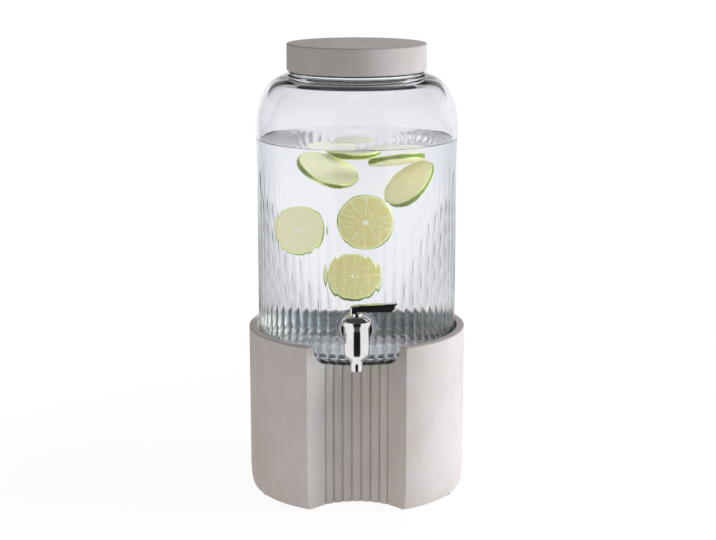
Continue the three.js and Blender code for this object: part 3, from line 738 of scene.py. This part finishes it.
slices = [
    # across, back, height, facing, lean, spin, radius: metres and degrees
    (-0.0245, -0.036, 0.3360, 38, 58, 10, 0.0277),
    (-0.0025, -0.003, 0.3515, 10, 80, 80, 0.0210),
    (0.0352, -0.056, 0.3485, -150, 77, 30, 0.0264),
    (0.0472, -0.046, 0.3235, -46, 42, 55, 0.0278),
    (0.0082, -0.0865, 0.2912, 5, 10, 25, 0.0271),
    (-0.0515, -0.054, 0.2775, -22, 26, 70, 0.0258),
    (-0.0030, -0.072, 0.2345, 2, 40, 120, 0.0265),
]
half = 0.0029
for number, (x, y, z, facing, lean, spin, radius) in enumerate(slices, 1):
    rim = [(radius - 0.0012, -half, 0.0006), (radius, 0, 0.004), (radius - 0.0012, half, 0.0006)]
    bm = turned(rounded([(0, -half), *rim, (0, half)], 3), 72)
    layer = bm.loops.layers.uv.new("slice")
    for vertex in bm.verts:
        px, py, _ = vertex.co
        wobble = 1 + 0.035 * noise.noise(Vector((px / radius * 1.3 + number * 7, py / radius * 1.3, 0)))
        vertex.co.x, vertex.co.y = px * wobble, py * wobble
    for face in bm.faces:
        for loop in face.loops:
            loop[layer].uv = Vector(loop.vert.co.xy) / radius
    for degrees, axis in ((spin, "Z"), (90 - lean, "X"), (facing, "Z")):
        turn = Matrix.Rotation(math.radians(degrees), 3, axis)
        bmesh.ops.rotate(bm, verts=bm.verts, cent=(0, 0, 0), matrix=turn)
    bmesh.ops.translate(bm, verts=bm.verts, vec=(x, y + axis_y, z))
    piece = made(bm, f"contents_lime_{number}", deep_lime if number in (5, 7) else pale_lime)
    shade(piece, 50)
    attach(piece, "vessel")

# A heavy lid of the same cast concrete, 27 mm thick. Its plug sits in the jar's mouth, with a silicone ring
# in a groove round it. The plug and the underside have a dark tone, which stands for the shade there.
lid_z = 0.42815
lid_radius = 0.0696
lid_top = 0.45515
plug_z = lid_z - 0.011
plug_radius = 0.0594
groove_radius = 0.0572
groove_z = lid_z - 0.00675
lid_profile = rounded([
    (0, plug_z), (plug_radius, plug_z, 0.0015), (plug_radius, groove_z, 0.0003), (groove_radius, groove_z),
    (groove_radius, lid_z), (lid_radius, lid_z, 0.0016), (lid_radius, lid_top, 0.0014), (0, lid_top),
])
lid = made(turned(lid_profile, 192, (0, axis_y)), "lid_cast")


def lid_edge(wire, spot):
    _, _, up, out = round_axis(wire, spot)
    top = up.ramp(lid_top - 0.0018, lid_top - 0.0006)
    return top * out.ramp(lid_radius - 0.0018, lid_radius - 0.0008)


def lid_underside(wire, spot):
    _, _, up = wire.parts(spot)
    return up.ramp(lid_z + 0.0006, lid_z)


# With depth 0.95 the lid's concrete is toned 5% darker than the pedestal's: painted shade for the lesser
# light it gets up there.
shade(lid, 35, concrete("concrete_lid", 11.0, lid_edge, lid_underside, (0.02, 0.022, 0.028), 0.95))
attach(lid, "cover")
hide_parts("lid")

# Moulded silicone. The tap's two gaskets, the valve's lining and the stem's O-ring are grey. The lid's ring
# is milky and passes light, and it glows faintly: painted light for what the glass brings in under the lid.
# Its thin flange under the lid's edge has a dark tone for the shade there.
silicone, wire = finish_of("silicone", IOR=1.41)
spot = wire.place()
bloom = wire.noise(spot, 130, 3, 0.6, 4.0)
feed(
    wire,
    Base_Color=bloom.ramp(0.35, 0.7).blend((0.28, 0.30, 0.31), (0.36, 0.38, 0.38)),
    Roughness=0.34 + 0.2 * bloom,
    Normal=bump(wire, wire.noise(spot, 1800, 2, 0.5, 5.0), 0.0001, 0.4),
)
for node in ("inner_gasket", "valve_sleeve", "stem_seal"):
    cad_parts[node].material_slots[0].material = silicone
flange_z = 0.4262
# The ring's faint glow is painted light.
milky_and_glow, wire = finish_of(
    "silicone_milky_glowing", IOR=1.41, Subsurface_Weight=0.2, Subsurface_Radius=(0.002, 0.002, 0.002),
    Emission_Strength=0.45,
)
spot = wire.place()
bloom = wire.noise(spot, 130, 3, 0.6, 4.0)
_, _, up = wire.parts(spot)
tone = bloom.ramp(0.35, 0.7).blend((0.86, 0.86, 0.88), (0.93, 0.93, 0.94))
tone = up.ramp(flange_z, flange_z + 0.0004).blend(tone, (0.05, 0.05, 0.06))
feed(wire, Base_Color=tone, Emission_Color=tone, Roughness=0.34 + 0.2 * bloom)
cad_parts["lid_seal"].material_slots[0].material = milky_and_glow

gasket = rounded([(0.00825, 0), (0.018, 0, 0.0006), (0.018, 0.0025, 0.0006), (0.00825, 0.0025)])
gasket = turned(gasket, 96, closed=True)
gasket = made(along_y(gasket, -0.0879, shank_z), "gasket_outside", silicone)
shade(gasket)
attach(gasket, "vessel")
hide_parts("outer_gasket")

# Turned and polished steel: a waisted barrel with a cone and a nozzle, and a shank with a flange that goes
# through the glass. Inside the jar a washer and a nut pull the flange against the outer gasket.
steel, wire = finish_of("steel", Metallic=1.0)
spot = wire.place()
smear = wire.noise(spot, 90, 3, 0.6, 6.0)
lines = wire.noise(wire.place(scale=(1, 1, 14)), 300, 2, 0.6, 7.0)
feed(
    wire,
    Base_Color=smear.ramp(0.3, 0.8).blend((0.82, 0.80, 0.785), (0.74, 0.72, 0.71)),
    Roughness=0.035 + 0.06 * smear,
    Normal=bump(wire, lines, 0.00002, 0.25),
)
for node in ("tap_washer", "valve_plug", "lever_screw"):
    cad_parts[node].material_slots[0].material = steel

nozzle_radius = 0.0056
cone_radius = 0.0122
belly_radius = 0.0125
waist_radius = 0.0121
collar_radius = 0.0141


def at_tap(profile):
    """A profile drawn from the shank's middle, put at the tap's height."""
    return [(radius, height + shank_z) for radius, height in profile]


def waisted(start, end, low, high, steps):
    """A soft S from one radius to another, between two heights."""
    shares = [k / steps for k in range(1, steps + 1)]
    return [(start + (end - start) * smooth(share, 0, 1), low + (high - low) * share) for share in shares]


barrel = [(0, -0.035), *rounded([(0, -0.035), (nozzle_radius, -0.035, 0.0003), (nozzle_radius, -0.0286)])[1:]]
barrel += waisted(nozzle_radius, cone_radius, -0.0286, -0.0166, 12)
for k in range(1, 9):
    swell = math.sin(math.pi / 2 * k / 8)
    barrel.append((cone_radius + (belly_radius - cone_radius) * swell, -0.0166 + 0.0086 * k / 8))
barrel += waisted(belly_radius, waist_radius, -0.008, 0.005, 8)
barrel += waisted(waist_radius, collar_radius, 0.005, 0.0126, 12)
barrel += rounded([(collar_radius, 0.0126), (collar_radius, 0.015, 0.0009), (0, 0.015)], 4)[1:]
tap = made(turned(at_tap(barrel), 128, (0, tap_y)), "tap_turned")
shank_profile = rounded([
    (0, 0), (0.0084, 0), (0.0084, 0.0218, 0.0006), (0.0156, 0.0218, 0.0006), (0.0156, 0.0238, 0.0003),
    (0.008, 0.0238), (0.008, 0.04565, 0.0005), (0, 0.04565),
])
combine(tap, made(along_y(turned(shank_profile, 96), tap_y, shank_z), "shank"), "UNION")
chamber = [(0, -0.013), (0.0092, -0.013), (0.0092, 0.019), (0, 0.019)]
outlet = [(0, -0.039), (0.0041, -0.039), (0.0041, 0), (0, 0)]
inlet = [(0, 0), (0.0045, 0), (0.0045, 0.049), (0, 0.049)]
for bore in (chamber, outlet):
    combine(tap, made(turned(at_tap(bore), 64, (0, tap_y)), "bore"), "DIFFERENCE")
combine(tap, made(along_y(turned(inlet, 64), tap_y, shank_z), "bore"), "DIFFERENCE")
shade(tap, 30, steel)
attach(tap, "vessel")
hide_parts("tap_body")

nut_corner = 0.021 / math.sqrt(3)
nut_height = 0.0055
nut_y = -0.0743
bm = bmesh.new()
bmesh.ops.create_cone(
    bm, cap_ends=True, segments=6, radius1=nut_corner, radius2=nut_corner, depth=nut_height
)
bmesh.ops.bevel(bm, geom=bm.edges[:], offset=0.0006, segments=2, profile=0.5, affect="EDGES", material=-1)
bmesh.ops.translate(bm, verts=bm.verts, vec=(0, 0, nut_height / 2))
nut = made(along_y(bm, nut_y, shank_z), "nut_hexagon")
hole = turned([(0, -0.002), (0.00825, -0.002), (0.00825, 0.008), (0, 0.008)], 64)
combine(nut, made(along_y(hole, nut_y, shank_z), "hole"), "DIFFERENCE")
shade(nut, 30, steel)
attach(nut, "vessel")
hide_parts("tap_nut")

# The domed ring that screws into the barrel's top and keeps the valve's plug and its O-ring in. It is turned
# from the same steel, polished, and bored for the stem.
bonnet_radius = 0.0128
bonnet_z = 0.01525
dome_rise = 0.00385
dome_hole = 0.0066
bonnet = [(0.00595, 0.0079), (0.0089, 0.0079), (0.0089, bonnet_z), (bonnet_radius, bonnet_z)]
for k in range(1, 13):
    radius = bonnet_radius - (bonnet_radius - dome_hole) * k / 12
    bonnet.append((radius, bonnet_z + dome_rise * math.sin(math.pi / 2 * k / 12)))
bonnet += [(0.0061, 0.0191), (0.0061, 0.0165), (0.0038, 0.0165), (0.0038, 0.0103), (0.00595, 0.0103)]
bonnet = made(turned(at_tap(bonnet), 128, (0, tap_y), closed=True), "bonnet_domed", steel)
shade(bonnet, 30)
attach(bonnet, "vessel")
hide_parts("bonnet")

# A polished lever of thick flat bar: a short leg on a turned hub, and a long arm with a thin tip. The leg's
# two outer corners are ground round. A grub screw at the back fixes the hub on the valve's stem.
lever_depth = 0.009
leg_x = -0.0063
leg_round = 0.0022
rim_round = 0.0005
foot_z = 0.0194
under_z = 0.0231
bend = 0.0022
tip_x = 0.0382
tip_z = 0.0315
side_view = [(leg_x, foot_z), (0.0005, foot_z)]
side_view += rounded([(0.0005, foot_z), (0.0005, under_z, 0.0011), (0.0302, under_z)], 4)[1:-1]
side_view += rounded([
    (0.0005, under_z), (0.0362, under_z, 0.006), (0.0362, 0.02995), (tip_x, 0.0300), (tip_x, tip_z, 0.0002),
], 8)[1:]
side_view += rounded([(tip_x, tip_z), (leg_x, 0.0286, bend), (leg_x, foot_z)], 6)[1:-1]
bm = pulled([(x, -lever_depth / 2, z) for x, z in side_view], (0, lever_depth, 0))


def on_leg(point):
    """Whether a point is on the leg's outer face or in the bend above it."""
    return point.x < leg_x + 0.0001 or point.x < leg_x + bend + 1e-6 and point.z > foot_z + 0.001


leg_rims = []
for edge in bm.edges:
    ends = [v.co for v in edge.verts]
    if abs(ends[0].y - ends[1].y) < 1e-6 and all(on_leg(point) for point in ends):
        leg_rims.append(edge)
bmesh.ops.bevel(
    bm, geom=leg_rims, offset=leg_round, segments=6, profile=0.5, affect="EDGES", material=-1,
    clamp_overlap=True,
)
rims = []
for edge in bm.edges:
    at_side = all(abs(abs(v.co.y) - lever_depth / 2) < 1e-6 for v in edge.verts)
    if at_side and edge.calc_face_angle(0) > 1.0:
        rims.append(edge)
bmesh.ops.bevel(
    bm, geom=rims, offset=rim_round, segments=3, profile=0.5, affect="EDGES", material=-1, clamp_overlap=True
)
bmesh.ops.translate(bm, verts=bm.verts, vec=(0, tap_y, shank_z))
lever = made(bm, "lever_polished")
hub = at_tap(rounded([(0, 0.0168), (0.0058, 0.0168), (0.0058, 0.0221, 0.0007), (0, 0.0221)]))
combine(lever, made(turned(hub, 96, (0, tap_y)), "hub"), "UNION")
socket = at_tap([(0, 0.0128), (0.00375, 0.0128), (0.00375, 0.0210), (0, 0.0210)])
combine(lever, made(turned(socket, 48, (0, tap_y)), "socket"), "DIFFERENCE")
hole = turned([(0, 0), (0.0015, 0), (0.0015, 0.0098), (0, 0.0098)], 32)
combine(lever, made(along_y(hole, tap_y, shank_z + 0.02065), "hole"), "DIFFERENCE")
shade(lever, 30, steel)
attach(lever, "valve")
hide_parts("lever")
